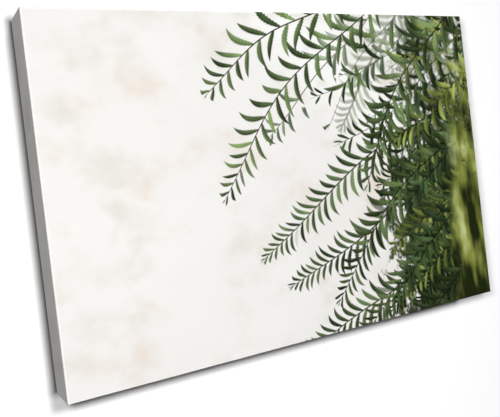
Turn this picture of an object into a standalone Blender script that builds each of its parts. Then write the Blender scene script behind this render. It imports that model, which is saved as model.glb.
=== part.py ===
"""Stretched canvas wall print: cotton canvas pulled over a keyed pine stretcher frame.

The picture faces -Y, +X is to the viewer's right and +Z is up. The origin is on the wall plane,
where the wall nail sits in the middle notch of the sawtooth hanger. All values are in metres.
"""

import math

import bmesh
import bpy
from mathutils import Matrix

# Driving dimensions of the whole print
WIDTH = 0.4572
HEIGHT = 0.3048
DEPTH = 0.044
GAP = 0.0003

# Canvas
CANVAS = 0.0005
CANVAS_RADIUS = 0.0012
TURNED_EDGE = 0.024

# Stretcher bars
BAR_WIDTH = 0.032
LIP_WIDTH = 0.005
LIP_DROP = 0.0012
FRONT_SLOPE = 0.0045
ARRIS = 0.0005

# Corner keys
KEY_LENGTH = 0.026
KEY_SHOWN = 0.008
KEY_WIDE = 0.0095
KEY_NARROW = 0.0045
KEY_THICKNESS = 0.0032

# Staples
WIRE = 0.0007
CROWN = 0.0105
STAPLE_INSET = 0.0145
STAPLE_PITCH = 0.048
STAPLES_LONG = 8
STAPLES_SHORT = 5
FOLD_STAPLE_FROM_END = 0.027
STAPLE_TILT = math.radians(7)

# Sawtooth hanger and its nails
STRIP = 0.0009
STRIP_HALF_LENGTH = 0.0225
STRIP_HEIGHT = 0.0085
BRIDGE_HALF_LENGTH = 0.0125
BRIDGE_FOOT = 0.0160
BRIDGE_RISE = 0.0020
TOOTH_PITCH = 0.003
TOOTH_HEIGHT = 0.0015
TEETH_EACH_SIDE = 4
NAIL_AT = 0.0192
NAIL_HOLE_RADIUS = 0.0011
NAIL_SHANK_RADIUS = 0.0007
NAIL_HEAD_RADIUS = 0.0020
NAIL_HEAD_HEIGHT = 0.0008

# Where the print sits behind the origin
HANGER_REACH = GAP + BRIDGE_RISE + STRIP
NOTCH_BELOW_TOP = 0.017
CENTRE_Y = -(HANGER_REACH + DEPTH / 2)
CENTRE_Z = NOTCH_BELOW_TOP - HEIGHT / 2

# Worked out from the values above
BARS_WIDTH = WIDTH - 2 * (CANVAS + GAP)
BARS_HEIGHT = HEIGHT - 2 * (CANVAS + GAP)
BAR_DEPTH = DEPTH - 2 * (CANVAS + GAP)
BACK = DEPTH / 2


def empty_scene():
    for existing in list(bpy.data.objects):
        bpy.data.objects.remove(existing)


def collection(name):
    made = bpy.data.collections.new(name)
    bpy.context.scene.collection.children.link(made)
    return made


def material(name, colour, roughness, metallic=0.0):
    made = bpy.data.materials.new(name)
    made.use_nodes = True
    shader = made.node_tree.nodes["Principled BSDF"]
    shader.inputs["Base Color"].default_value = (*colour, 1.0)
    shader.inputs["Roughness"].default_value = roughness
    shader.inputs["Metallic"].default_value = metallic
    made.diffuse_color = (*colour, 1.0)
    return made


def new_object(name, data, finish, parent, into):
    made = bpy.data.objects.new(name, data)
    if finish is not None:
        made.data.materials.append(finish)
    made.parent = parent
    into.objects.link(made)
    return made


def mesh_object(name, shape, finish, parent, into):
    """An object from a bmesh, whose faces are first turned outwards."""
    mesh = bpy.data.meshes.new(name)
    shape.to_mesh(mesh)
    shape.free()
    return new_object(name, mesh, finish, parent, into)


def flat_face(outline):
    """A bmesh with one face in the XZ plane, through the outline's (x, z) points."""
    shape = bmesh.new()
    corners = [shape.verts.new((x, 0.0, z)) for x, z in outline]
    shape.faces.new(corners)
    return shape


def thicken(shape, thickness):
    """Extrudes the faces of an open bmesh along +Y, and turns every face outwards."""
    pulled = bmesh.ops.extrude_face_region(shape, geom=shape.faces[:])
    points = [item for item in pulled["geom"] if isinstance(item, bmesh.types.BMVert)]
    bmesh.ops.translate(shape, verts=points, vec=(0.0, thickness, 0.0))
    bmesh.ops.recalc_face_normals(shape, faces=shape.faces)


def cutter_box(name, size, centre, parent, into):
    shape = bmesh.new()
    bmesh.ops.create_cube(shape, size=1.0)
    bmesh.ops.scale(shape, vec=size, verts=shape.verts)
    made = mesh_object(name, shape, None, parent, into)
    made.location = centre
    return as_cutter(made)


def as_cutter(made):
    made.hide_render = True
    made.display_type = "WIRE"
    return made


def cut(target, cutter):
    boolean = target.modifiers.new(cutter.name, "BOOLEAN")
    boolean.operation = "DIFFERENCE"
    boolean.solver = "EXACT"
    boolean.object = cutter


# Canvas: one sheet over the front and the four sides, with its edges turned over at the back
def canvas_sheet(finish, centre, into):
    shape = bmesh.new()
    bmesh.ops.create_cube(shape, size=1.0)
    bmesh.ops.scale(shape, vec=(WIDTH, DEPTH, HEIGHT), verts=shape.verts)
    bmesh.ops.bevel(
        shape,
        geom=shape.edges[:],
        offset=CANVAS_RADIUS,
        segments=3,
        profile=0.5,
        affect="EDGES",
        material=-1,
    )
    back = max(shape.faces, key=lambda face: face.calc_center_median().y)
    bmesh.ops.inset_region(shape, faces=[back], thickness=TURNED_EDGE - CANVAS_RADIUS)
    bmesh.ops.delete(shape, geom=[back], context="FACES")
    made = mesh_object("canvas", shape, finish, centre, into)
    cloth = made.modifiers.new("cloth", "SOLIDIFY")
    cloth.thickness = CANVAS
    cloth.offset = -1.0
    cloth.use_even_offset = True
    return made


# Stretcher bar: its outer lip holds the canvas clear of the rest of the bar, and its ends are mitred
def stretcher_bar(name, outer_length, outer_side, turn, finish, centre, into):
    """outer_side is how far the bar's outer face is from the frame's centre."""
    profile = [
        (0.0, 0.0),
        (LIP_WIDTH, LIP_DROP),
        (BAR_WIDTH, FRONT_SLOPE),
        (BAR_WIDTH, BAR_DEPTH),
        (0.0, BAR_DEPTH),
    ]
    half = outer_length / 2 - GAP / math.sqrt(2)
    shape = bmesh.new()
    section = [shape.verts.new((-1.0, depth, -inward)) for inward, depth in profile]
    shape.faces.new(section)
    bmesh.ops.extrude_face_region(shape, geom=shape.faces[:])
    shape.verts.index_update()
    for index, point in enumerate(shape.verts):
        side = -1.0 if index < len(profile) else 1.0
        point.co.x = side * (half + point.co.z)
    bmesh.ops.recalc_face_normals(shape, faces=shape.faces)
    long_edges = [
        edge
        for edge in shape.edges
        if abs((edge.verts[0].co - edge.verts[1].co).normalized().x) > 0.9
    ]
    bmesh.ops.bevel(
        shape,
        geom=long_edges,
        offset=ARRIS,
        segments=2,
        profile=0.5,
        affect="EDGES",
        material=-1,
    )
    bmesh.ops.translate(shape, verts=shape.verts, vec=(0.0, -BAR_DEPTH / 2, outer_side))
    made = mesh_object(name, shape, finish, centre, into)
    made.rotation_euler = (0.0, turn, 0.0)
    return made


# Corner keys: two thin wedges a corner, each driven into a pocket in one bar to tighten the canvas
def key_outline():
    """A wedge along +X with its straight side at z = 0, its wide end at x = -KEY_SHOWN."""
    tip = KEY_LENGTH - KEY_SHOWN
    return [(-KEY_SHOWN, 0.0), (-KEY_SHOWN, -KEY_WIDE), (tip, -KEY_NARROW), (tip, 0.0)]


def corner_key(name, inner_corner, layer, swap, finish, centre, into, cutters, bar):
    """A key in the corner whose inner point is inner_corner, with the pocket that holds it.

    layer is which side of the bar's middle the key lies on, and swap turns it to run along Z.
    """
    corner_x, corner_z = inner_corner
    side_x = math.copysign(1.0, corner_x)
    side_z = math.copysign(1.0, corner_z)
    middle_y = layer * (KEY_THICKNESS / 2 + GAP)
    clear = 2 * GAP

    def placed(along, across):
        if swap:
            along, across = across, along
        return corner_x + side_x * along, corner_z + side_z * across

    outline = [placed(along, across - clear) for along, across in key_outline()]
    shape = flat_face(outline)
    thicken(shape, KEY_THICKNESS)
    bmesh.ops.translate(shape, verts=shape.verts, vec=(0.0, middle_y - KEY_THICKNESS / 2, 0.0))
    bmesh.ops.bevel(
        shape,
        geom=shape.edges[:],
        offset=ARRIS / 2,
        segments=1,
        profile=0.5,
        affect="EDGES",
        material=-1,
    )
    mesh_object(name, shape, finish, centre, into)

    pocket_reach = KEY_LENGTH - KEY_SHOWN + GAP
    pocket_width = KEY_WIDE + GAP
    middle_x, middle_z = placed(pocket_reach / 2, -(clear - GAP) - pocket_width / 2)
    size = [pocket_reach, KEY_THICKNESS + GAP, pocket_width]
    # The box starts a little outside the bar, so that the pocket opens on the bar's inner face.
    outside = 0.002
    size[0] += outside
    shift = -outside / 2
    middle_x += 0.0 if swap else side_x * shift
    middle_z += side_z * shift if swap else 0.0
    if swap:
        size = [size[2], size[1], size[0]]
    pocket = cutter_box(
        name + "_pocket", size, (middle_x, middle_y, middle_z), centre, cutters
    )
    cut(bar, pocket)


# Staples: flat-driven wire staples through the turned edge, with only the crown showing
def staple_mesh():
    """A crown along X whose ends turn down to y = 0, as a POLY curve with filled caps."""
    curve = bpy.data.curves.new("staple", "CURVE")
    curve.dimensions = "3D"
    curve.bevel_depth = WIRE / 2
    curve.bevel_resolution = 2
    curve.use_fill_caps = True
    half = CROWN / 2
    round_off = WIRE / 2
    points = [
        (-half, 0.0),
        (-half, round_off),
        (-half + round_off, 2 * round_off),
        (half - round_off, 2 * round_off),
        (half, round_off),
        (half, 0.0),
    ]
    spline = curve.splines.new("POLY")
    spline.points.add(len(points) - 1)
    for point, (along, out) in zip(spline.points, points):
        point.co = (along, out, 0.0, 1.0)
    return curve


def staple_rows():
    """(name, x, z, turn) of every staple, seen in the frame's own plane. The two halves mirror."""
    rows = []
    for end, side in (("top", 1), ("bottom", -1)):
        places = [(index + 0.5) * STAPLE_PITCH for index in range(STAPLES_LONG // 2)]
        places = [place + STAPLE_PITCH * 0.27 for place in places]
        places.append(WIDTH / 2 - FOLD_STAPLE_FROM_END)
        for number, place in enumerate(places, start=1):
            tilt = STAPLE_TILT * (1 if number % 2 else -1)
            for half, sign in (("right", 1), ("left", -1)):
                name = f"staple_{end}_{half}_{number}"
                rows.append((name, sign * place, side * (HEIGHT / 2 - STAPLE_INSET), sign * tilt))
    for half, sign in (("right", 1), ("left", -1)):
        for number in range(STAPLES_SHORT):
            place = (number - (STAPLES_SHORT - 1) / 2) * STAPLE_PITCH
            tilt = STAPLE_TILT * (1 if number % 2 else -1)
            name = f"staple_{half}_{number + 1}"
            turn = sign * (math.pi / 2 + tilt)
            rows.append((name, sign * (WIDTH / 2 - STAPLE_INSET), place, turn))
    return rows


# Hanger: a stamped strip whose middle stands off the bar, with teeth along its lower edge
def hanger_outline(below_centre):
    """The strip's (x, z) outline, with z = 0 of the notches at below_centre."""
    points = []
    teeth = 2 * TEETH_EACH_SIDE
    for index in range(-teeth, teeth + 1):
        x = index * TOOTH_PITCH / 2
        notch = index % 2 == 0
        points.append((x, 0.0 if notch else -TOOTH_HEIGHT))
    points[0] = (points[0][0], -TOOTH_HEIGHT / 2)
    points[-1] = (points[-1][0], -TOOTH_HEIGHT / 2)
    points.append((STRIP_HALF_LENGTH, -TOOTH_HEIGHT / 2))
    points.append((STRIP_HALF_LENGTH, STRIP_HEIGHT - TOOTH_HEIGHT))
    points.append((-STRIP_HALF_LENGTH, STRIP_HEIGHT - TOOTH_HEIGHT))
    points.append((-STRIP_HALF_LENGTH, -TOOTH_HEIGHT / 2))
    return [(x, z + below_centre) for x, z in points]


def bridge_height(x):
    """How far the strip stands off at x, from its flat feet to its raised middle."""
    along = (BRIDGE_FOOT - abs(x)) / (BRIDGE_FOOT - BRIDGE_HALF_LENGTH)
    return BRIDGE_RISE * min(1.0, max(0.0, along))


def sawtooth_hanger(steel, centre, into, cutters):
    notch_z = -CENTRE_Z
    shape = flat_face(hanger_outline(notch_z))
    for bend in (-BRIDGE_FOOT, -BRIDGE_HALF_LENGTH, BRIDGE_HALF_LENGTH, BRIDGE_FOOT):
        bmesh.ops.bisect_plane(
            shape,
            geom=shape.verts[:] + shape.edges[:] + shape.faces[:],
            plane_co=(bend, 0.0, 0.0),
            plane_no=(1.0, 0.0, 0.0),
        )
    for point in shape.verts:
        point.co.y = BACK + GAP + bridge_height(point.co.x)
    thicken(shape, STRIP)
    strip = mesh_object("sawtooth_hanger", shape, steel, centre, into)
    nail_z = notch_z + STRIP_HEIGHT / 2 - TOOTH_HEIGHT
    for half, sign in (("right", 1), ("left", -1)):
        place = (sign * NAIL_AT, BACK + GAP, nail_z)
        cut(strip, nail_hole(f"hole_{half}", place, centre, cutters))
        hanger_nail(f"hanger_nail_{half}", place, steel, centre, into)


def nail_hole(name, place, centre, cutters):
    shape = bmesh.new()
    bmesh.ops.create_cone(
        shape,
        cap_ends=True,
        segments=16,
        radius1=NAIL_HOLE_RADIUS,
        radius2=NAIL_HOLE_RADIUS,
        depth=4 * STRIP,
        matrix=Matrix.Rotation(math.pi / 2, 4, "X"),
    )
    bmesh.ops.recalc_face_normals(shape, faces=shape.faces)
    made = mesh_object(name, shape, None, centre, cutters)
    made.location = place
    return as_cutter(made)


def hanger_nail(name, place, steel, centre, into):
    """A domed head over the strip and the stub of its shank, turned about Y."""
    seat = STRIP + GAP
    profile = [
        (0.0, seat + NAIL_HEAD_HEIGHT),
        (0.6 * NAIL_HEAD_RADIUS, seat + 0.8 * NAIL_HEAD_HEIGHT),
        (NAIL_HEAD_RADIUS, seat + 0.3 * NAIL_HEAD_HEIGHT),
        (NAIL_HEAD_RADIUS, seat),
        (NAIL_SHANK_RADIUS, seat),
        (NAIL_SHANK_RADIUS, 0.0),
        (0.0, 0.0),
    ]
    mesh = bpy.data.meshes.new(name)
    edges = [(index, index + 1) for index in range(len(profile) - 1)]
    mesh.from_pydata([(radius, 0.0, height) for radius, height in profile], edges, [])
    made = new_object(name, mesh, steel, centre, into)
    made.location = place
    made.rotation_euler = (-math.pi / 2, 0.0, 0.0)
    turned = made.modifiers.new("turned", "SCREW")
    turned.axis = "Z"
    turned.angle = 2 * math.pi
    turned.steps = 16
    turned.render_steps = 16
    turned.use_merge_vertices = True
    turned.merge_threshold = 0.00001
    turned.use_smooth_shade = True


def build():
    empty_scene()
    parts = collection("stretched_canvas_print")
    cutters = collection("cutters")
    printed = material("printed_canvas", (0.86, 0.83, 0.77), 0.75)
    pine = material("pine", (0.72, 0.52, 0.31), 0.65)
    hardboard = material("key_wood", (0.60, 0.42, 0.25), 0.7)
    steel = material("zinc_plated_steel", (0.62, 0.62, 0.60), 0.35, 1.0)

    centre = bpy.data.objects.new("frame_centre", None)
    centre.location = (0.0, CENTRE_Y, CENTRE_Z)
    parts.objects.link(centre)

    canvas_sheet(printed, centre, parts)

    bars = {}
    for name, length, outer_side, turn in (
        ("bar_top", BARS_WIDTH, BARS_HEIGHT / 2, 0.0),
        ("bar_right", BARS_HEIGHT, BARS_WIDTH / 2, math.pi / 2),
        ("bar_bottom", BARS_WIDTH, BARS_HEIGHT / 2, math.pi),
        ("bar_left", BARS_HEIGHT, BARS_WIDTH / 2, -math.pi / 2),
    ):
        bars[name] = stretcher_bar(name, length, outer_side, turn, pine, centre, parts)

    inner_x = BARS_WIDTH / 2 - BAR_WIDTH
    inner_z = BARS_HEIGHT / 2 - BAR_WIDTH
    for end, sign_z in (("top", 1), ("bottom", -1)):
        for half, sign_x in (("right", 1), ("left", -1)):
            corner = (sign_x * inner_x, sign_z * inner_z)
            for kind, layer, swap, bar in (
                ("side", 1, False, bars[f"bar_{half}"]),
                ("end", -1, True, bars[f"bar_{end}"]),
            ):
                name = f"key_{end}_{half}_{kind}"
                corner_key(name, corner, layer, swap, hardboard, centre, parts, cutters, bar)

    wire = staple_mesh()
    wire.materials.append(steel)
    for name, x, z, turn in staple_rows():
        made = new_object(name, wire, None, centre, parts)
        made.location = (x, BACK + GAP, z)
        made.rotation_euler = (0.0, turn, 0.0)

    sawtooth_hanger(steel, centre, parts, cutters)


build()
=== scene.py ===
import math
import random

import bmesh
import bpy
import numpy as np
from mathutils import Matrix, Vector, noise


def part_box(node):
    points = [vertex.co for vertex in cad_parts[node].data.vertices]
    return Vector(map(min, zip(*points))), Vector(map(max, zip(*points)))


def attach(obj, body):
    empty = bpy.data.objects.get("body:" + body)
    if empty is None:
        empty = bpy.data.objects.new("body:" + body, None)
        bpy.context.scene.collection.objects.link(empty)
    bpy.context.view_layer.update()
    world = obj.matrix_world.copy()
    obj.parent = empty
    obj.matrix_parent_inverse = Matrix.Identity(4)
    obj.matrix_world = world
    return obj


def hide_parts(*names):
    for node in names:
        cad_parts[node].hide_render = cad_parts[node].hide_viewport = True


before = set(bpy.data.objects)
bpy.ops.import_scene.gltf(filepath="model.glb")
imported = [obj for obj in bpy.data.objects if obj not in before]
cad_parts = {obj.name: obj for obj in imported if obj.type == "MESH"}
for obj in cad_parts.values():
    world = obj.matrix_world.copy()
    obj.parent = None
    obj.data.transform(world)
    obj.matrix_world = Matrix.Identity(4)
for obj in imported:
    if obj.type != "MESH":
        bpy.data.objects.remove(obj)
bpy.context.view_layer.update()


# Stretcher bars. Four lengths of planed pine with mitred ends, pushed together into the frame that
# carries the canvas. The wood is bare, its grain runs along each bar, and two bars have a knot.
class Value:
    """A node's output. Python's operators on it add Math nodes."""

    def __init__(self, finish, socket):
        self.finish = finish
        self.socket = socket

    def __add__(self, other):
        return self.finish.math("ADD", self, other)

    def __sub__(self, other):
        return self.finish.math("SUBTRACT", self, other)

    def __rsub__(self, other):
        return self.finish.math("SUBTRACT", other, self)

    def __mul__(self, other):
        return self.finish.math("MULTIPLY", self, other)

    def __truediv__(self, other):
        return self.finish.math("DIVIDE", self, other)

    def __rtruediv__(self, other):
        return self.finish.math("DIVIDE", other, self)

    def __pow__(self, other):
        return self.finish.math("POWER", self, other)

    def __abs__(self):
        return self.finish.math("ABSOLUTE", self)

    __radd__ = __add__
    __rmul__ = __mul__


class Finish:
    """A Principled material and the nodes that feed it."""

    def __init__(self, name, surface):
        self.material = bpy.data.materials.new(name)
        self.material.use_nodes = True
        self.tree = self.material.node_tree
        self.shader = self.tree.nodes["Principled BSDF"]
        self.feed(self.shader, surface)

    def feed(self, node, sockets):
        for name, value in sockets.items():
            if isinstance(value, Value):
                self.tree.links.new(value.socket, node.inputs[name])
            else:
                node.inputs[name].default_value = value

    def node(self, kind, settings, sockets, output=0):
        made = self.tree.nodes.new("ShaderNode" + kind)
        for name, value in settings.items():
            setattr(made, name, value)
        self.feed(made, sockets)
        return Value(self, made.outputs[output])

    def math(self, operation, *terms):
        return self.node("Math", {"operation": operation}, dict(enumerate(terms)))

    def mix(self, share, first, second):
        return self.node("Mix", {"data_type": "RGBA"}, {0: share, 6: first, 7: second}, 2)

    def rise(self, value, start, end):
        """0 at start, 1 at end, and smooth between them."""
        limits = {0: value, 1: start, 2: end}
        return self.node("MapRange", {"interpolation_type": "SMOOTHSTEP"}, limits)

    def stretched(self, place, factors):
        return self.node("VectorMath", {"operation": "MULTIPLY"}, {0: place, 1: factors})

    def parts(self, vector):
        made = self.node("SeparateXYZ", {}, {0: vector}).socket.node
        return [Value(self, socket) for socket in made.outputs]

    def noise(self, place, scale, detail=2.0, roughness=0.5, output=0):
        sockets = {"Vector": place, "Scale": scale, "Detail": detail, "Roughness": roughness}
        return self.node("TexNoise", {}, sockets, output)

    def bump(self, height, distance):
        sockets = {"Height": height, "Distance": distance}
        self.feed(self.shader, {"Normal": self.node("Bump", {}, sockets)})


def tone(red, green, blue):
    """A display colour, 0 to 255 a channel, as the linear colour that a shader takes."""
    shares = [channel / 255 for channel in (red, green, blue)]
    linear = [s / 12.92 if s < 0.04 else ((s + 0.055) / 1.055) ** 2.4 for s in shares]
    return (*linear, 1.0)


ring_pitch = 0.0034


def pine(name, along, pith, knot=None):
    """Planed pine. pith is the tree's middle, across the bar and in depth; knot is along and across."""
    finish = Finish(name, {"Roughness": 0.6, "Specular IOR Level": 0.35})
    place = finish.node("TexCoord", {}, {}, "Object")
    x, y, z = finish.parts(place)
    lengthwise, across = (x, z) if along == "X" else (z, x)

    def grain(lengthways, sideways):
        return (lengthways if along == "X" else sideways, sideways, lengthways if along == "Z" else sideways)

    wander = finish.noise(finish.stretched(place, grain(2.2, 22)), 1.0, 3.0)
    from_pith = ((across - pith[0]) ** 2.0 + (y - pith[1]) ** 2.0) ** 0.5 + wander * 0.012
    if knot:
        away = (((lengthwise - knot[0]) * 0.45) ** 2.0 + (across - knot[1]) ** 2.0) ** 0.5
        from_pith = from_pith + finish.rise(away, 0.016, 0.001) * 0.009
    ring = from_pith / ring_pitch
    year = finish.math("FRACT", ring)
    late = finish.rise(year, 0.35, 0.92) * finish.rise(year, 1.0, 0.95)
    vigour = finish.node("TexWhiteNoise", {"noise_dimensions": "1D"}, {"W": finish.math("FLOOR", ring)})
    late = late * (vigour * 0.6 + 0.4)
    fibre = finish.noise(finish.stretched(place, grain(35, 2400)), 1.0, 3.0, 0.6)
    patch = finish.noise(finish.stretched(place, grain(5, 40)), 1.0, 2.0)
    colour = finish.mix(late, tone(232, 203, 158), tone(201, 156, 103))
    colour = finish.mix(finish.rise(fibre, 0.45, 0.75) * 0.35, colour, tone(196, 156, 108))
    colour = finish.mix(finish.rise(patch, 0.45, 0.8) * 0.4, colour, tone(240, 214, 172))
    if knot:
        colour = finish.mix(finish.rise(away, 0.0065, 0.004) * 0.75, colour, tone(150, 96, 54))
        colour = finish.mix(finish.rise(away, 0.0042, 0.0036) * 0.8, colour, tone(112, 66, 36))
        heart = finish.rise(finish.math("SINE", away * 5200.0), 0.2, 0.9) * finish.rise(away, 0.004, 0.003)
        colour = finish.mix(heart * 0.5, colour, tone(84, 48, 28))
    finish.feed(finish.shader, {"Base Color": colour, "Roughness": 0.68 - late * 0.14})
    finish.bump(fibre * 0.6 + late * 0.4, 0.00012)
    return finish.material


bars = {
    "bar_top": pine("pine top", "X", (0.075, 0.018), (0.118, 0.004)),
    "bar_bottom": pine("pine bottom", "X", (-0.335, -0.055)),
    "bar_right": pine("pine right", "Z", (0.305, 0.02)),
    "bar_left": pine("pine left", "Z", (-0.17, 0.045), (-0.085, -0.214)),
}
for name, material in bars.items():
    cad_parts[name].data.materials.clear()
    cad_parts[name].data.materials.append(material)


# Corner keys. Eight thin beech wedges tapped into the slots at the bars' inner corners, two a corner,
# to spread the frame and tighten the cloth.
def beech(name, along):
    finish = Finish(name, {"Roughness": 0.55, "Specular IOR Level": 0.4})
    place = finish.node("TexCoord", {}, {}, "Object")
    grain = (160, 1500, 1500) if along == "X" else (1500, 1500, 160)
    fleck = finish.noise(finish.stretched(place, grain), 1.0, 2.0, 0.6)
    band = finish.noise(finish.stretched(place, [g / 9 for g in grain]), 1.0, 2.0)
    colour = finish.mix(band, tone(214, 176, 132), tone(226, 192, 150))
    colour = finish.mix(finish.rise(fleck, 0.5, 0.72) * 0.55, colour, tone(176, 128, 86))
    finish.feed(finish.shader, {"Base Color": colour})
    finish.bump(fleck, 0.00006)
    return finish.material


key_finishes = {
    "side": beech("beech lying along the side", "X"),
    "end": beech("beech lying down the end", "Z"),
}
for name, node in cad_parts.items():
    if name.startswith("key_"):
        node.data.materials.clear()
        node.data.materials.append(key_finishes[name.rsplit("_", 1)[1]])


# Canvas. One sheet of primed cotton, printed, stretched over the bars, folded square at the corners
# on the top and bottom sides, and turned over at the back, where its raw edge shows.
canvas_low, canvas_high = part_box("canvas")
half_width = (canvas_high.x - canvas_low.x) / 2
half_height = (canvas_high.z - canvas_low.z) / 2
depth = canvas_high.y - canvas_low.y
canvas_middle = (canvas_low + canvas_high) / 2
turned_edge = 0.024
cloth_thickness = 0.00045
turn_radius = 0.0012
sheet_pitch = 0.0029
turn_steps = (0.0, 0.0003, 0.0006, 0.0009, 0.0012, 0.0016)
first_row = 0.0022
hem_pitch = 0.0021
raw_edge_step = 0.0008

# What lifts the cloth off the bars or sinks it: faint waves, the doubled cloth of the corner folds, the
# staples' dimples, and the raw edge, which stands loose where nothing pins it
face_wave = 0.00003
side_wave = 0.00005
fold_rise = 0.0009
fold_lip = 0.0011
fold_ramp = 0.006
fold_start = 0.002
fold_reach = 0.034
turned_flat = 0.004
staple_dimple = 0.00028
dimple_spread = 0.0024
dimple_reach = 0.014
flat_of_crown = 0.0045
loose_rise = 0.0007
loose_from = 0.014
pin_hold = (0.012, 0.026)
touching = 1e-6


def stations(length):
    """Places along a length of cloth, close together at its ends, where it turns a corner."""
    count = round((length - 2 * first_row) / sheet_pitch)
    even = [first_row + (length - 2 * first_row) * step / count for step in range(count + 1)]
    return [*turn_steps, *even, *(length - step for step in reversed(turn_steps))]


def smooth(value, start, end):
    share = min(1.0, max(0.0, (value - start) / (end - start)))
    return share * share * (3 - 2 * share)


columns = [place - half_width for place in stations(2 * half_width)]
rows = [place - half_height for place in stations(2 * half_height)]
even_insets = [first_row + hem_pitch * step for step in range(10)]
back_rings = [*turn_steps[1:], *even_insets, turned_edge - raw_edge_step, turned_edge]
rings = stations(depth)[1:] + [depth + inset for inset in back_rings]

cloth = bmesh.new()
bmesh.ops.create_grid(cloth, x_segments=len(columns) - 1, y_segments=len(rows) - 1, size=1.0)
for point in cloth.verts:
    column = round((point.co.x + 1) / 2 * (len(columns) - 1))
    row = round((point.co.y + 1) / 2 * (len(rows) - 1))
    point.co = (columns[column], -depth / 2, rows[row])
reach_of = cloth.verts.layers.float.new("reach")
hem = [edge for edge in cloth.edges if edge.is_boundary]
inset_before = 0.0
for reach in rings:
    grown = bmesh.ops.extrude_edge_only(cloth, edges=hem)["geom"]
    hem = [item for item in grown if isinstance(item, bmesh.types.BMEdge) and item.is_boundary]
    inset = max(0.0, reach - depth)
    for point in (item for item in grown if isinstance(item, bmesh.types.BMVert)):
        point[reach_of] = reach
        point.co.x *= (half_width - inset) / (half_width - inset_before)
        point.co.z *= (half_height - inset) / (half_height - inset_before)
        point.co.y = min(reach, depth) - depth / 2
    inset_before = inset

# Each corner of a face gets its place on the flat sheet, before the cloth is bent
flat_map = cloth.loops.layers.uv.new("Flat")
for face in cloth.faces:
    middle = face.calc_center_median()
    on_face = max(point[reach_of] for point in face.verts) == 0.0
    beside = half_width - abs(middle.x) < half_height - abs(middle.z)
    for loop in face.loops:
        point = loop.vert
        if on_face:
            loop[flat_map].uv = (point.co.x, point.co.z)
        elif beside:
            loop[flat_map].uv = (math.copysign(half_width + point[reach_of], middle.x), point.co.z)
        else:
            loop[flat_map].uv = (point.co.x, math.copysign(half_height + point[reach_of], middle.z))

staples = [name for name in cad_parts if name.startswith("staple_")]
staple_places = []
for name in staples:
    points = [vertex.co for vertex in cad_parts[name].data.vertices]
    lowest = min(points, key=lambda p: p.x + p.z)
    highest = max(points, key=lambda p: p.x + p.z)
    low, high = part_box(name)
    middle = (low + high) / 2
    run = Vector((highest.x - lowest.x, 0.0, highest.z - lowest.z)).normalized()
    staple_places.append((Vector((middle.x, 0.0, middle.z)), run))
hanger_nails = [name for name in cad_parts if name.startswith("hanger_nail_")]
nail_places = []
for name in hanger_nails:
    low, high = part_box(name)
    nail_places.append(Vector(((low.x + high.x) / 2, 0.0, (low.z + high.z) / 2)))
pinned = [place for place, run in staple_places] + nail_places


def relief(point, reach):
    """How far the cloth stands off the bars at a point of the sharp box, in metres."""
    from_end = half_width - abs(point.x)
    from_side = half_height - abs(point.z)
    world = point + canvas_middle
    height = side_wave * noise.noise(world * 45) if reach else face_wave * noise.noise(world * 9)
    if from_side < touching and 0 < reach <= depth:
        lip = math.sqrt(1 - (1 - min(from_end, fold_lip) / fold_lip) ** 2)
        height += fold_rise * lip * smooth(reach - from_end + fold_start, 0.0, fold_ramp)
    elif reach > depth and from_end >= from_side - touching:
        from_mitre = max(0.0, from_end - from_side)
        lip = math.sqrt(1 - (1 - min(from_mitre, fold_lip) / fold_lip) ** 2)
        height += fold_rise * lip * (1 - smooth(from_end, fold_reach, fold_reach + fold_ramp))
    if reach > depth + turned_flat:
        flat = Vector((world.x, 0.0, world.z))
        for place, run in staple_places:
            if (flat - place).length < dimple_reach:
                beyond = max(0.0, abs((flat - place).dot(run)) - flat_of_crown)
                beside = (flat - place).cross(run).length
                height -= staple_dimple * math.exp(-(beyond**2 + beside**2) / (2 * dimple_spread**2))
        loose = smooth(reach, depth + loose_from, depth + turned_edge)
        from_pin = min((flat - place).length for place in pinned)
        waves = 0.6 + 0.6 * noise.noise(flat * 30)
        height += loose_rise * loose * smooth(from_pin, *pin_hold) * waves
    return height


inner = Vector((half_width - turn_radius, depth / 2 - turn_radius, half_height - turn_radius))
moved = []
for point in cloth.verts:
    reach = point[reach_of]
    core = Vector([min(limit, max(-limit, value)) for value, limit in zip(point.co, inner)])
    outward = (point.co - core).normalized()
    moved.append(core + outward * (turn_radius + relief(point.co, reach)) + canvas_middle)
for point, place in zip(cloth.verts, moved):
    if point[reach_of] == rings[-1]:
        ragged = 0.0004 * noise.noise(place * 260) + 0.0003 * noise.noise(place * 60)
        place.x += ragged
        place.z += ragged
    point.co = place
canvas_mesh = bpy.data.meshes.new("printed canvas")
cloth.to_mesh(canvas_mesh)
cloth.free()
canvas_mesh.shade_smooth()
canvas = bpy.data.objects.new("canvas_sheet", canvas_mesh)
bpy.context.scene.collection.objects.link(canvas)
thicken = canvas.modifiers.new("cloth thickness", "SOLIDIFY")
thicken.thickness = cloth_thickness
thicken.offset = -1.0
thicken.material_offset = 1
thicken.material_offset_rim = 1
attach(canvas, "root")
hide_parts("canvas")


# Printed picture. Ink sprayed on the primed side of the canvas: twigs with slim toothed leaves that
# hang in from the right over a cream ground, sharp near the eye and soft behind. The picture is carried
# round the sides as its own mirror image.
corner_flats = np.empty(2 * len(canvas_mesh.loops), np.float32)
canvas_mesh.uv_layers["Flat"].data.foreach_get("uv", corner_flats)
corner_flats = corner_flats.reshape(-1, 2).astype(float)
halves = np.array([half_width, half_height])
picture = np.sign(corner_flats) * (halves - np.abs(halves - np.abs(corner_flats)))
canvas_mesh.uv_layers.new(name="Picture")
canvas_mesh.uv_layers["Picture"].data.foreach_set("uv", picture.astype(np.float32).ravel())

samples = 110
quads = picture.reshape(-1, 4, 2)
quad_middles = quads.mean(1)


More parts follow.
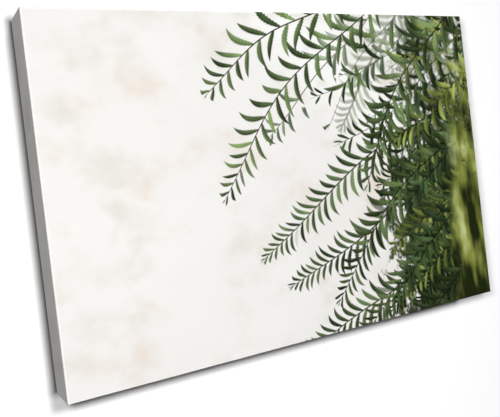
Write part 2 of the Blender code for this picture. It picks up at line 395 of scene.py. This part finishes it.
def lay_twig(field, start, heading, turn, length, leaf, spacing, number):
    """Writes a twig's own coordinates into the cloth's faces near it: leaf number, distance across it
    and leaf length. A face belongs to one twig, so that nothing is blended between two."""
    share = (np.arange(samples) + 0.5) / samples
    sway = 7 * np.sin(share * 7 + number * 2.1)
    angle = np.radians(heading + turn * share + sway)
    course = np.stack([np.cos(angle), np.sin(angle)], 1)
    middles = np.array(start) + np.cumsum(course, 0) * length / samples
    knots = np.linspace(-0.3, 1.3, 321)
    growth = [-0.3, 0.0, 0.18, 0.7, 1.0, 1.3], [0.5, 0.6, 1.0, 0.85, 0.5, 0.4]
    sizes = leaf * np.interp(knots, *growth)
    counts = np.concatenate([[0], np.cumsum(np.diff(knots) * length / (spacing * sizes[1:]))])

    def own(points):
        away = points[:, None, :] - middles[None]
        nearest = (away**2).sum(2).argmin(1)
        away = away[np.arange(len(points)), nearest]
        ahead = course[nearest]
        place = share[nearest] + (away * ahead).sum(1) / length
        across = ahead[:, 0] * away[:, 1] - ahead[:, 1] * away[:, 0]
        size = np.interp(place, knots, sizes) * np.clip((1.12 - place) / 0.1, 0.01, 1)
        return np.stack([np.interp(place, knots, counts) + 100 * number, across, size], 1)

    low, high = middles.min(0) - 1.3 * leaf, middles.max(0) + 1.3 * leaf
    near = np.flatnonzero(((quad_middles > low) & (quad_middles < high)).all(1))
    held = field[near].mean(1)
    mine = own(quad_middles[near])
    better = np.abs(mine[:, 1]) / mine[:, 2] < np.abs(held[:, 1]) / held[:, 2]
    near = near[better]
    field[near] = own(quads[near].reshape(-1, 2)).reshape(-1, 4, 3)


# The layers, from the farthest to the nearest. For each: twigs, first start along the rim, heading and
# its turn in degrees, length, leaf and its spacing, edge softness, opacity, and the dark, light and stem
# tones.
layers = {
    "far": (3, 0.21, 240, -16, 0.12, 0.04, 0.44, 0.26, 0.6, (140, 150, 112), (196, 202, 158), (140, 146, 104)),
    "hazy": (3, 0.15, 236, -20, 0.15, 0.03, 0.42, 0.18, 0.7, (104, 120, 90), (168, 178, 142), (104, 104, 74)),
    "gloom": (7, 0.21, 246, -10, 0.18, 0.027, 0.38, 0.12, 1.0, (8, 16, 5), (44, 56, 30), (18, 22, 10)),
    "dusk": (7, 0.21, 232, -4, 0.15, 0.023, 0.42, 0.09, 1.0, (10, 20, 7), (84, 102, 60), (22, 26, 12)),
    "curtain": (4, 0.20, 262, 4, 0.28, 0.026, 0.44, 0.05, 1.0, (12, 24, 9), (98, 120, 80), (26, 30, 16)),
    "low": (4, 0.33, 208, 12, 0.31, 0.034, 0.43, 0.04, 1.0, (16, 32, 13), (124, 148, 98), (30, 34, 18)),
    "grey": (3, 0.12, 232, -16, 0.16, 0.032, 0.52, 0.03, 1.0, (56, 76, 50), (180, 198, 164), (60, 62, 38)),
    "shade": (7, 0.22, 226, 10, 0.16, 0.021, 0.40, 0.03, 1.0, (4, 11, 2), (42, 60, 30), (14, 18, 6)),
    "olive": (4, 0.22, 234, -20, 0.16, 0.030, 0.48, 0.02, 1.0, (36, 50, 14), (172, 188, 98), (44, 44, 20)),
    "night": (5, 0.21, 250, -18, 0.20, 0.026, 0.46, 0.02, 1.0, (4, 11, 2), (60, 82, 44), (12, 16, 6)),
    "leafy": (3, 0.16, 222, 22, 0.19, 0.034, 0.54, 0.018, 1.0, (24, 42, 18), (140, 166, 104), (40, 40, 22)),
    "bright": (4, 0.25, 222, -12, 0.18, 0.032, 0.48, 0.018, 1.0, (52, 68, 22), (184, 198, 106), (60, 56, 30)),
    "hem": (4, 0.36, 206, 20, 0.25, 0.031, 0.43, 0.018, 1.0, (8, 20, 6), (108, 130, 80), (22, 26, 12)),
    "front": (4, 0.20, 230, -22, 0.21, 0.032, 0.50, 0.016, 1.0, (8, 20, 6), (92, 120, 74), (20, 24, 10)),
    "spray": (1, 0.21, 214, 30, 0.24, 0.036, 0.56, 0.014, 1.0, (18, 32, 14), (140, 166, 106), (36, 36, 20)),
    "sprig": (1, 0.12, 216, 26, 0.24, 0.036, 0.56, 0.014, 1.0, (18, 32, 14), (140, 166, 106), (36, 36, 20)),
    "tip": (1, 0.07, 200, 30, 0.19, 0.034, 0.56, 0.014, 1.0, (18, 32, 14), (140, 166, 106), (36, 36, 20)),
}
dice = random.Random(7)

# Twigs start on a rim that runs above the face and, past its corner, down beside it. A face that no twig
# is near keeps no_twig: a metre off, with leaves too small to be drawn.
corner = half_width + 0.02
rim = half_height + 0.014
no_twig = (0.0, 1.0, 0.001)
for layer, (twigs, first, heading, turn, length, leaf, spacing, *_) in layers.items():
    field = np.tile(np.array(no_twig), (len(quads), 4, 1))
    for number in range(twigs):
        along = first + number * 2.2 * leaf + dice.uniform(-0.01, 0.01)
        start = (min(along, corner), rim - max(0.0, along - corner))
        lay_twig(
            field,
            start,
            heading + dice.uniform(-9, 9),
            turn + dice.uniform(-12, 12),
            length * dice.uniform(0.75, 1.15),
            leaf * dice.uniform(0.88, 1.1),
            spacing,
            number + 1,
        )
    stored = canvas_mesh.attributes.new("twigs_" + layer, "FLOAT_VECTOR", "CORNER")
    stored.data.foreach_set("vector", field.astype(np.float32).ravel())

exposure = 0.82


def ink(red, green, blue):
    """The tone that shows as this display colour under the room's light."""
    return (*(channel * exposure for channel in tone(red, green, blue)[:3]), 1.0)


printed = Finish("printed canvas", {"Roughness": 0.68, "Specular IOR Level": 0.05})
spot = printed.node("UVMap", {"uv_map": "Picture"}, {})
right, up, _ = printed.parts(spot)
flat = printed.node("UVMap", {"uv_map": "Flat"}, {})
flat_x, flat_z, _ = printed.parts(flat)
past_edge = printed.math("MAXIMUM", abs(flat_x) - half_width, abs(flat_z) - half_height)
cloud = printed.noise(printed.stretched(spot, (9.0, 12.0, 1.0)), 1.0, 2.0, 0.55)
stain = printed.noise(printed.stretched(spot, (16.0, 19.0, 1.0)), 1.0, 3.0, 0.6, 1)
stain_red, stain_green, _ = printed.parts(stain)
ground = printed.mix(cloud, ink(249, 247, 245), ink(239, 237, 233))
ground = printed.mix(printed.rise(right + up, 0.05, 0.16), ground, ink(255, 255, 252))
ground = printed.mix(printed.rise(stain_red, 0.50, 0.74) * 0.75, ground, ink(232, 221, 208))
ground = printed.mix(printed.rise(stain_green, 0.52, 0.76) * 0.7, ground, ink(223, 221, 208))

# A pale line painted along the front edge, where the cloth turns it: partly ink rubbed thin there, partly a
# painted highlight on the edge
edge_wear_and_highlight = printed.rise(past_edge, -0.0018, -0.0009) * printed.rise(past_edge, 0.0009, 0.0)
edge_wear_and_highlight = edge_wear_and_highlight * (printed.rise(printed.noise(flat, 300.0), 0.3, 0.55) * 0.3 + 0.3)
ground = printed.mix(edge_wear_and_highlight, ground, tone(247, 246, 242))

# Foliage too far back to have leaves: a dark mass on the right, and sunlit haze beyond it. Light comes
# through the twigs at the top, where open_share is 1, and dapples the leaves.
drift = printed.noise(spot, 13.0, 3.0, 0.6)
mottle = printed.noise(printed.stretched(spot, (75.0, 55.0, 1.0)), 1.0, 3.0, 0.65)
mass = printed.rise(right + (drift - 0.5) * 0.12 + (mottle - 0.5) * 0.14 - up * 0.10, 0.112, 0.132)
open_share = printed.rise(right - up * 0.3, 0.232, 0.208) * printed.rise(up, -0.05, 0.09)
mass_tone = printed.mix(printed.rise(mottle, 0.35, 0.7), ink(12, 20, 8), ink(76, 92, 52))
ground = printed.mix(mass * printed.rise(mottle - open_share * 0.3, 0.26, 0.38), ground, mass_tone)
patches = printed.noise(printed.stretched(spot, (26.0, 20.0, 1.0)), 1.0, 2.0, 0.6)
dapple = printed.rise(patches, 0.36, 0.66) * (0.9 + up * 2.2)
glow = printed.noise(printed.stretched(spot, (44.0, 15.0, 1.0)), 1.0, 2.0, 0.55)
sunlit = glow - abs(up - 0.01) * 1.1
haze_tone = printed.mix(printed.rise(sunlit, 0.30, 0.58), ink(32, 40, 14), ink(156, 166, 80))
haze_tone = printed.mix(printed.rise(sunlit, 0.48, 0.62) * 0.8, haze_tone, ink(214, 222, 160))
haze = printed.rise(right + (drift - 0.5) * 0.13 - up * 0.05, 0.172, 0.212)
haze = haze * printed.rise(mottle + up * 1.5, 0.72, 0.5)


def hang_leaves(under, layer, spacing, softness, opacity, dark, light, stem, shadow, thinning):
    """Draws a layer's twigs over the colour beneath, from their own coordinates. thinning is the share
    of leaves that is left out where light comes through."""
    twig = printed.node("Attribute", {"attribute_name": "twigs_" + layer}, {}, "Vector")
    count, across, size = printed.parts(twig)
    side = printed.math("SIGN", across)
    out = abs(across) / size
    arch = (out * 1.2 - out * out * 0.7) / spacing
    slot = count - arch + side * 0.25
    leaf_number = printed.math("ROUND", slot)
    seed = printed.node("CombineXYZ", {}, {0: leaf_number, 1: side})
    chance = printed.node("TexWhiteNoise", {"noise_dimensions": "2D"}, {"Vector": seed}, "Color")
    long, tilt, shade = printed.parts(chance)
    kept = printed.rise(printed.math("FRACT", long * 13.0) - open_share * thinning, 0.0, 0.01)
    there = printed.rise(size, 0.004, 0.006)
    out = out / (long * 0.4 + 0.68)
    beside = slot - leaf_number + (tilt - 0.5) * out * (0.2 + out * 0.5)
    tooth = printed.math("FRACT", out * (11.0 + 2.0 * softness))
    spread = out**0.5 * (1.0 - out) * (tooth * 0.5 + 0.75) * (0.3 / spacing)
    mask = printed.rise(abs(beside) - spread, softness, -softness) * there * kept
    shaded = printed.rise(abs(beside) - spread, 0.2, 0.0) * there * kept
    under = printed.mix(shaded * opacity * 0.3, under, shadow)
    lit = printed.rise(beside * side, -0.09, 0.09)
    rib = printed.rise(abs(beside), 0.035, 0.0) * 0.5
    share = (shade**1.5 * 0.9 + lit * 0.24 + tooth * 0.16) * (0.3 + dapple * 0.9)
    colour = printed.mix(share, ink(*dark), ink(*light))
    colour = printed.mix(rib * share, colour, ink(*light))
    shown = printed.mix(mask * opacity, under, colour)
    bark = printed.rise(abs(across) / size, 0.022 + softness * 0.5, 0.010) * there
    bark = bark * opacity * (1.0 - open_share * thinning * 0.6)
    return printed.mix(bark, shown, ink(*stem))


# Where light comes through, some layers keep all their leaves, some lose half, and the rest lose most
whole_layers = ("far", "hazy", "low", "hem", "spray", "sprig", "tip")
half_thinned = ("grey", "bright", "front")
for layer, values in layers.items():
    shadow = printed.mix(mass, ground, ink(12, 20, 8))
    thinning = 0.0 if layer in whole_layers else 0.5 if layer in half_thinned else 0.8
    ground = hang_leaves(ground, layer, *values[6:], shadow, thinning)
    if layer == "front":
        ground = printed.mix(haze, ground, haze_tone)

# The ink stops a few millimetres round the back, and the primer is white beyond it
ink_past_side = 0.0046
primed = printed.rise(past_edge, depth + ink_past_side, depth + ink_past_side + 0.0006)
ground = printed.mix(primed, ground, tone(236, 234, 226))

# Plain weave, a thread every 0.65 mm each way, filled by the primer
thread_pitch = 0.00065
thread_turn = math.pi / thread_pitch
over_under = printed.math("SINE", flat_x * thread_turn) * printed.math("SINE", flat_z * thread_turn)
slub = printed.noise(printed.stretched(flat, (900.0, 60.0, 1.0)), 1.0, 1.0)
printed.feed(printed.shader, {"Base Color": ground})
printed.bump(over_under * 0.4 + slub * 0.5, 0.00006)

# The back of the cloth is unprimed, with its threads in full relief
raw = Finish("raw cotton", {"Roughness": 0.9, "Specular IOR Level": 0.2})
flat = raw.node("UVMap", {"uv_map": "Flat"}, {})
flat_x, flat_z, _ = raw.parts(flat)
over_under = raw.math("SINE", flat_x * thread_turn) * raw.math("SINE", flat_z * thread_turn)
slub = raw.noise(raw.stretched(flat, (1100.0, 45.0, 1.0)), 1.0, 2.0)
nap = raw.noise(raw.stretched(flat, (45.0, 1100.0, 1.0)), 1.0, 2.0)
colour = raw.mix(slub * 0.5 + nap * 0.5, tone(214, 202, 178), tone(238, 230, 212))
raw.feed(raw.shader, {"Base Color": colour})
raw.bump(over_under * 0.5 + slub * 0.4 + nap * 0.4, 0.00012)
canvas_mesh.materials.append(printed.material)
canvas_mesh.materials.append(raw.material)


# Staples. Thirty staples of flat galvanised wire, shot through the turned edge into the bars, a little
# askew. Only the crowns show, sunk in the cloth.
wire_width = 0.0010
wire_thickness = 0.0006
wire_rounding = 0.00014
staple_bend = 0.0006
staple_leg = 0.0022
staple_crown = 0.0105
staple_dice = random.Random(3)


def bend_staple(shape, crown):
    """Draws flat wire up a leg, across the crown and down, in a frame with the crown along X."""
    before = set(shape.verts)
    section = bmesh.ops.create_grid(shape, x_segments=1, y_segments=1, size=0.5)["verts"]
    bmesh.ops.scale(shape, vec=(wire_thickness, wire_width, 1.0), verts=section)
    bmesh.ops.translate(shape, vec=(-crown / 2, 0.0, -staple_leg), verts=section)
    bmesh.ops.bevel(
        shape, geom=section, offset=wire_rounding, segments=2, profile=0.5, affect="VERTICES", material=-1
    )
    foot = next(face for face in shape.faces if set(face.verts).isdisjoint(before))
    front = [foot, *foot.edges, *foot.verts]

    def pull(front, along):
        front = bmesh.ops.extrude_face_region(shape, geom=front)["geom"]
        bmesh.ops.translate(shape, vec=along, verts=[g for g in front if isinstance(g, bmesh.types.BMVert)])
        return front

    def turn(front, centre):
        quarter = {"axis": (0, 1, 0), "angle": math.pi / 2, "steps": 4}
        return bmesh.ops.spin(shape, geom=front, cent=centre, **quarter)["geom_last"]

    front = pull(front, (0.0, 0.0, staple_leg - staple_bend - wire_thickness / 2))
    front = turn(front, (-crown / 2 + staple_bend, 0.0, -staple_bend - wire_thickness / 2))
    front = pull(front, (crown - 2 * staple_bend, 0.0, 0.0))
    front = turn(front, (crown / 2 - staple_bend, 0.0, -staple_bend - wire_thickness / 2))
    pull(front, (0.0, 0.0, -(staple_leg - staple_bend - wire_thickness / 2)))
    return [point for point in shape.verts if point not in before]


def close_and_place(shape, name):
    """Makes a closed bmesh, with its faces turned outwards, into an object of its own."""
    bmesh.ops.remove_doubles(shape, verts=shape.verts, dist=0.000001)
    bmesh.ops.recalc_face_normals(shape, faces=shape.faces)
    mesh = bpy.data.meshes.new(name)
    shape.to_mesh(mesh)
    shape.free()
    mesh.shade_smooth()
    mesh.set_sharp_from_angle(angle=math.radians(40))
    made = bpy.data.objects.new(name, mesh)
    bpy.context.scene.collection.objects.link(made)
    return made


wire = bmesh.new()
staple_seat = canvas_high.y - staple_dimple + wire_thickness / 2
for place, run in staple_places:
    points = bend_staple(wire, staple_crown * staple_dice.uniform(0.98, 1.02))
    rock = Matrix.Rotation(math.radians(staple_dice.uniform(-1.2, 1.2)), 3, "Y")
    out = Vector((0.0, 1.0, 0.0))
    frame_of_staple = Matrix((run, out.cross(run), out)).transposed() @ rock
    for point in points:
        point.co = frame_of_staple @ point.co + place + out * staple_seat
staple_wires = close_and_place(wire, "staple_wires")


def zinc(name, pale, dull, metallic, grain):
    """Zinc on steel: cloudy, with a fine pull along the metal and duller patches."""
    finish = Finish(name, {"Metallic": metallic})
    place = finish.node("TexCoord", {}, {}, "Object")
    cloud = finish.noise(place, 420.0, 3.0, 0.6)
    pull = finish.noise(finish.stretched(place, grain), 1.0, 2.0, 0.6)
    colour = finish.mix(finish.rise(cloud, 0.35, 0.7), tone(*pale), tone(*dull))
    colour = finish.mix(finish.rise(pull, 0.5, 0.75) * 0.3, colour, tone(132, 130, 122))
    finish.feed(finish.shader, {"Base Color": colour, "Roughness": 0.26 + cloud * 0.28})
    finish.bump(pull * 0.6 + cloud * 0.4, 0.00003)
    return finish.material


galvanised = zinc("galvanised wire", (214, 215, 212), (176, 178, 178), 0.85, (900, 900, 900))
staple_wires.data.materials.append(galvanised)
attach(staple_wires, "root")
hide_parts(*staples)


# Sawtooth hanger. A stamped strip of zinc-plated steel, nailed by its two flat feet to the middle of
# the top bar. Its middle stands off the bar, and the wall's nail sits in a notch of its lower edge.
strip_low, strip_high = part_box("sawtooth_hanger")
strip_thickness = 0.0009
tooth_pitch = 0.003
tooth_height = 0.0015
teeth_each_side = 4
bridge_half_length = 0.0125
bridge_foot = 0.016
bend_ease = 0.0006
bridge_slope = bridge_foot + 2 * bend_ease - bridge_half_length
strip_corner = 0.0008
columns_a_tooth = 4
strip_rows = 8
hole_radius = 0.0011
strip_half_length = (strip_high.x - strip_low.x) / 2
strip_rise = strip_high.y - strip_low.y - strip_thickness
strip_columns = round(2 * strip_half_length / tooth_pitch * columns_a_tooth)

strip = bmesh.new()
bmesh.ops.create_grid(strip, x_segments=strip_columns, y_segments=strip_rows, size=1.0)
for point in strip.verts:
    x = point.co.x * strip_half_length
    up_share = (point.co.y + 1) / 2
    toothed = abs(x) < teeth_each_side * tooth_pitch
    notch = abs(2 * (x / tooth_pitch % 1) - 1) if toothed else 0.5
    foot_z = strip_low.z + tooth_height * notch
    stand_off = strip_rise * smooth(bridge_foot + bend_ease - abs(x), 0.0, bridge_slope)
    point.co = (x, strip_low.y + stand_off, foot_z + (strip_high.z - foot_z) * up_share)
for place in nail_places:
    middle = min(strip.verts, key=lambda p: (Vector((p.co.x, 0.0, p.co.z)) - place).length)
    around = {point for face in middle.link_faces for point in face.verts if point is not middle}
    bmesh.ops.delete(strip, geom=[middle], context="VERTS")
    for point in around:
        spoke = Vector((point.co.x - place.x, 0.0, point.co.z - place.z)).normalized() * hole_radius
        point.co = (place.x + spoke.x, point.co.y, place.z + spoke.z)
ends = [point for point in strip.verts if point.is_boundary and len(point.link_faces) == 1]
ends = [point for point in ends if abs(point.co.x) > bridge_foot]
bmesh.ops.bevel(
    strip, geom=ends, offset=strip_corner, segments=4, profile=0.5, affect="VERTICES", material=-1
)
bmesh.ops.solidify(strip, geom=strip.faces[:], thickness=-strip_thickness)
hanger = close_and_place(strip, "hanger_strip")
soften = hanger.modifiers.new("stamped edges", "BEVEL")
soften.width = 0.00016
soften.segments = 2
soften.angle_limit = math.radians(40)
hanger.data.materials.append(zinc("zinc plate", (206, 206, 200), (158, 160, 160), 0.85, (120, 900, 2600)))
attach(hanger, "root")
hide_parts("sawtooth_hanger")


# Hanger nails. Two short nails of bright steel wire with low domed heads, driven through the strip's
# holes into the top bar. Their heads and a stub of the shank are made.
head_radius = 0.0020
head_height = 0.0008
shank_radius = 0.0007
shank_length = 0.004
seat = strip_low.y + strip_thickness
dome = [math.radians(turn) for turn in range(0, 91, 15)]
outline = [
    (head_radius * math.sin(turn), seat + head_height * (0.25 + 0.75 * math.cos(turn))) for turn in dome
]
outline += [(head_radius, seat), (shank_radius, seat), (shank_radius, seat - shank_length)]
outline += [(0.0, seat - shank_length - shank_radius)]
pins = bmesh.new()
for place in nail_places:
    before = set(pins.verts)
    points = [pins.verts.new((radius, height, 0.0)) for radius, height in outline]
    lines = [pins.edges.new(pair) for pair in zip(points, points[1:])]
    bmesh.ops.spin(
        pins, geom=points + lines, cent=(0, 0, 0), axis=(0, 1, 0), angle=2 * math.pi, steps=24, use_merge=True
    )
    fresh = [point for point in pins.verts if point not in before]
    bmesh.ops.translate(pins, vec=place, verts=fresh)
nails = close_and_place(pins, "hanger_nails")
nails.data.materials.append(zinc("bright nail", (216, 214, 206), (170, 170, 168), 0.9, (900, 900, 900)))
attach(nails, "root")
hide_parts(*hanger_nails)


# Stage: a white wall behind the print, a pale floor far below it, and a pale room all round. The wall
# is one-sided, so that the back can be looked at through it.
def stage_finish(name, colour):
    return Finish(name, {"Base Color": colour, "Roughness": 0.9, "Specular IOR Level": 0.0})


def stage_plane(name, finish, centre, size, turn):
    shape = bmesh.new()
    placed = Matrix.Translation(centre) @ turn
    bmesh.ops.create_grid(shape, x_segments=1, y_segments=1, size=size, matrix=placed)
    mesh = bpy.data.meshes.new(name)
    shape.to_mesh(mesh)
    shape.free()
    mesh.materials.append(finish.material)
    made = bpy.data.objects.new(name, mesh)
    bpy.context.scene.collection.objects.link(made)
    made.visible_diffuse = False
    made.visible_glossy = False
    made.visible_shadow = False


# A band of shade painted into the wall's colour close round the print, under the softer shadows of the lamps
shade_width = 0.010
wall_white = (0.96, 0.96, 0.96, 1.0)
wall_finish = stage_finish("wall paint", wall_white)
wall_x, _, wall_z = wall_finish.parts(wall_finish.node("TexCoord", {}, {}, "Object"))
beyond_side = wall_finish.math("MAXIMUM", abs(wall_x) - half_width, 0.0)
beyond_end = wall_finish.math("MAXIMUM", abs(wall_z - canvas_middle.z) - half_height, 0.0)
beyond = (beyond_side**2.0 + beyond_end**2.0) ** 0.5
painted_shade_band = wall_finish.math("MAXIMUM", 1.0 - beyond / shade_width, 0.0) ** 2.0
painted = wall_finish.mix(painted_shade_band, wall_white, (0.1, 0.1, 0.1, 1.0))
wall_finish.feed(wall_finish.shader, {"Base Color": painted})
from_behind = wall_finish.node("NewGeometry", {}, {}, "Backfacing")
clear = wall_finish.node("BsdfTransparent", {}, {})
paint = Value(wall_finish, wall_finish.shader.outputs[0])
seen = wall_finish.node("MixShader", {}, {0: from_behind, 1: paint, 2: clear})
wall_finish.feed(wall_finish.tree.nodes["Material Output"], {"Surface": seen})
upright = Matrix.Rotation(math.pi / 2, 4, "X")
stage_plane("wall", wall_finish, Vector((0.0, 0.0002, 0.0)), 4.0, upright)
floor_finish = stage_finish("floor paint", (0.8, 0.8, 0.79, 1.0))
floor_glow = {"Emission Color": (1.0, 1.0, 1.0, 1.0), "Emission Strength": 0.5}
floor_finish.feed(floor_finish.shader, floor_glow)
stage_plane("floor", floor_finish, Vector((0.0, 0.0, -1.45)), 6.0, Matrix.Identity(4))

room = bmesh.new()
bmesh.ops.create_icosphere(room, subdivisions=3, radius=12.0)
bmesh.ops.reverse_faces(room, faces=room.faces)
room_mesh = bpy.data.meshes.new("room")
room.to_mesh(room_mesh)
room.free()
room_glow = {"Base Color": (0, 0, 0, 1), "Emission Color": (1, 1, 1, 1), "Emission Strength": 1.0}
room_finish = Finish("room", room_glow)
room_mesh.materials.append(room_finish.material)
room_object = bpy.data.objects.new("room", room_mesh)
bpy.context.scene.collection.objects.link(room_object)
room_object.visible_diffuse = False
room_object.visible_glossy = False
room_object.visible_transmission = False
room_object.visible_shadow = False

scene = bpy.context.scene
scene.view_settings.view_transform = "Standard"
scene.world = bpy.data.worlds.new("soft room light")
scene.world.use_nodes = True
ambient = scene.world.node_tree.nodes["Background"]
ambient.inputs["Color"].default_value = (1.0, 1.0, 1.0, 1.0)
ambient.inputs["Strength"].default_value = 0.06


# Light: a soft key from above, two lamps near the camera that light the print evenly and throw its
# shadow on the wall, and weaker light on the sides and the back
def aimed_light(name, kind, away, energy):
    """A light at a place measured from the middle of the print, and aimed at that middle."""
    lamp = bpy.data.lights.new(name, kind)
    lamp.energy = energy
    made = bpy.data.objects.new(name, lamp)
    made.location = canvas_middle + Vector(away)
    made.rotation_euler = (made.location - canvas_middle).to_track_quat("Z", "Y").to_euler()
    scene.collection.objects.link(made)
    return lamp


def even_lamp(name, away, energy, radius):
    """A round lamp close to the print, as bright on its far end as on its near one."""
    lamp = aimed_light(name, "POINT", away, energy)
    lamp.shadow_soft_size = radius
    lamp.use_nodes = True
    nodes = lamp.node_tree.nodes
    even = nodes.new("ShaderNodeLightFalloff")
    even.inputs["Strength"].default_value = 1.0
    lamp.node_tree.links.new(even.outputs["Constant"], nodes["Emission"].inputs["Strength"])


key = aimed_light("key", "SUN", (0.14, -1.0, 0.41), 1.1)
key.angle = 0.19
even_lamp("near lamp", (-0.166, -0.54, 0.058), 15.0, 0.05)
even_lamp("left lamp", (-0.37, -0.54, 0.056), 22.5, 0.05)
fill = aimed_light("fill", "SUN", (-0.85, 0.5, -0.15), 0.76)
fill.angle = 0.6
overhead = aimed_light("overhead", "SUN", (0.3, 0.35, 1.0), 0.9)
overhead.angle = 0.6
rear = aimed_light("rear", "AREA", (0.8, 1.5, 0.8), 24.0)
rear.size = 1.2

# Camera, at the photograph's viewing angle: level with the middle of the print and well to its left
view = bpy.data.cameras.new("camera")
view.sensor_width = 36.0
view.lens = 46.944
view.shift_x = -0.05
view.shift_y = -0.05
view.clip_start = 0.01
camera = bpy.data.objects.new("camera", view)
scene.collection.objects.link(camera)
face_middle = Vector((0.0, canvas_low.y, canvas_middle.z))
camera.location = face_middle + Vector((-0.31609, -0.51707, 0.00499))
camera.rotation_euler = [math.radians(angle) for angle in (89.095, 6.679, -29.342)]
scene.camera = camera
